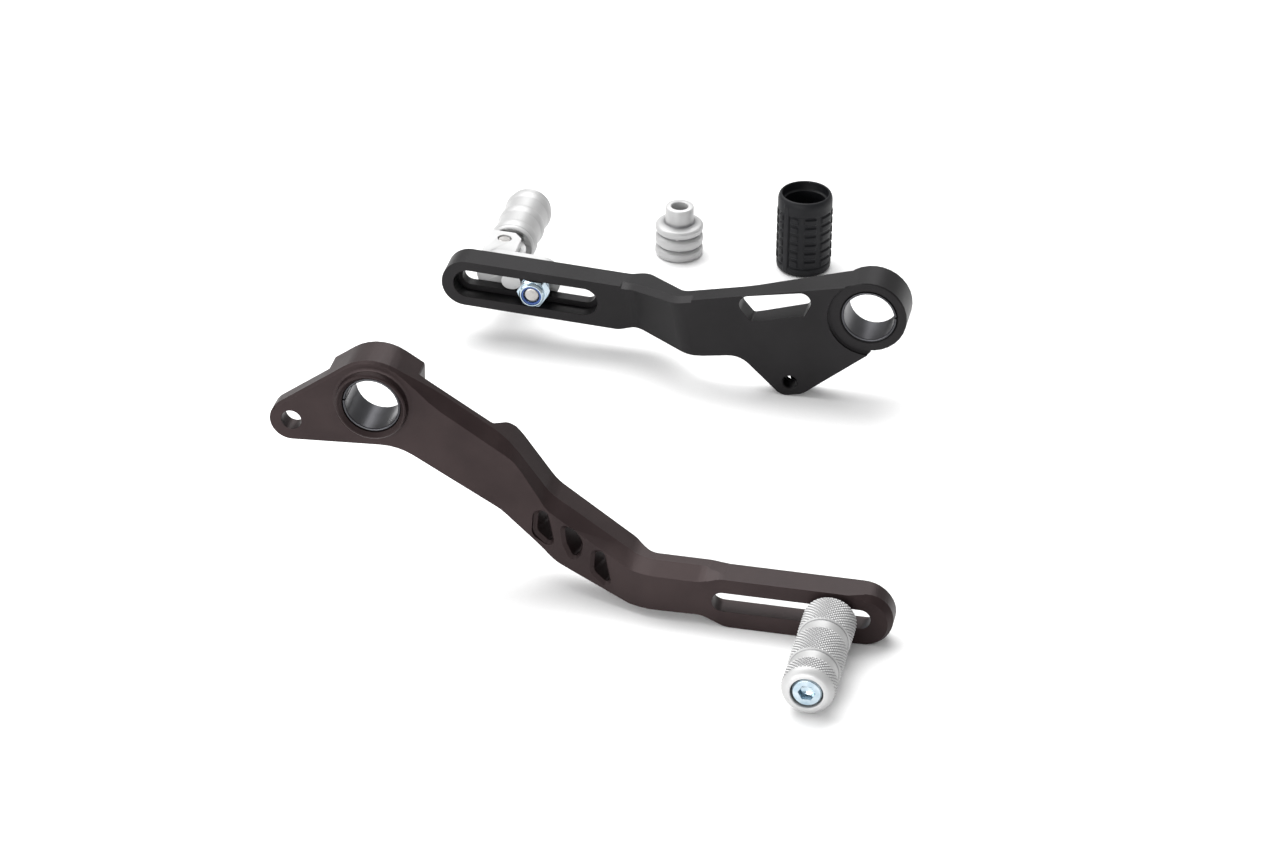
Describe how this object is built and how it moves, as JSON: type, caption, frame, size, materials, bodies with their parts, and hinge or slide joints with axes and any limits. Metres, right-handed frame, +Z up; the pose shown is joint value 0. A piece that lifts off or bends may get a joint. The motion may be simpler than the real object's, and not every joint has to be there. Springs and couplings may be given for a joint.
{
  "type": "motorcycle foot-lever set",
  "caption": "Rear-brake lever and gear-shift lever with sliding foot pegs, one of them folding, plus a loose ribbed spacer and a rubber peg sleeve.",
  "frame": {"origin": "middle of the set's box, on the surface it stands on", "axes": "+X along the levers towards the brake peg, +Y along the pivot axes away from the viewer, +Z up"},
  "size_m": [0.2124, 0.304, 0.0777],
  "materials": {
    "brown_anodised": "satin brown-black anodised",
    "black_anodised": "satin black anodised",
    "silver_anodised": "satin clear anodised",
    "zinc": "bright zinc plated",
    "bush_steel": "smooth wrapped bush",
    "steel": "turned steel",
    "nylon": "matte nylon",
    "rubber": "matte black rubber"
  },
  "bodies": {
    "brake_lever": {"brake_arm": "brown_anodised", "brake_bush": "bush_steel"},
    "brake_peg": {"brake_peg": "silver_anodised", "brake_peg_bolt": "zinc", "brake_washer": "zinc", "brake_locknut": "zinc", "brake_locknut_ring": "nylon"},
    "shift_lever": {"shift_arm": "black_anodised", "shift_bush": "bush_steel"},
    "shift_peg_carriage": {"shift_peg_carrier": "silver_anodised", "shift_clamp_bolt": "steel", "shift_washer": "zinc", "shift_locknut": "zinc", "shift_locknut_ring": "nylon", "fold_pin": "steel"},
    "shift_peg_tip": {"shift_peg_tip": "silver_anodised", "fold_spring": "steel"},
    "spacer": {"spacer": "silver_anodised"},
    "rubber_sleeve": {"rubber_sleeve": "rubber"}
  },
  "joints": [
    {"name": "brake_peg_slide", "type": "slide", "parent": "brake_lever", "child": "brake_peg", "axis": [1, 0, 0], "range_m": [-0.0355, 0.0088]},
    {"name": "shift_lever_lift", "type": "slide", "parent": "brake_lever", "child": "shift_lever", "axis": [0, 0, 1], "range_m": [0, 0.1]},
    {"name": "spacer_lift", "type": "slide", "parent": "brake_lever", "child": "spacer", "axis": [0, 0, 1], "range_m": [0, 0.1]},
    {"name": "sleeve_lift", "type": "slide", "parent": "brake_lever", "child": "rubber_sleeve", "axis": [0, 0, 1], "range_m": [0, 0.1]},
    {"name": "shift_peg_slide", "type": "slide", "parent": "shift_lever", "child": "shift_peg_carriage", "axis": [0.9988, 0, -0.0479], "range_m": [-0.0138, 0.0175]},
    {"name": "peg_fold", "type": "hinge", "parent": "shift_peg_carriage", "child": "shift_peg_tip", "pos_m": [-0.06903, 0.0848, 0.02205], "axis": [0.0479, 0, 0.9988], "range_deg": [-90, 0], "stiffness_Nm_per_rad": 0.05, "springref_deg": 17.19}
  ]
}
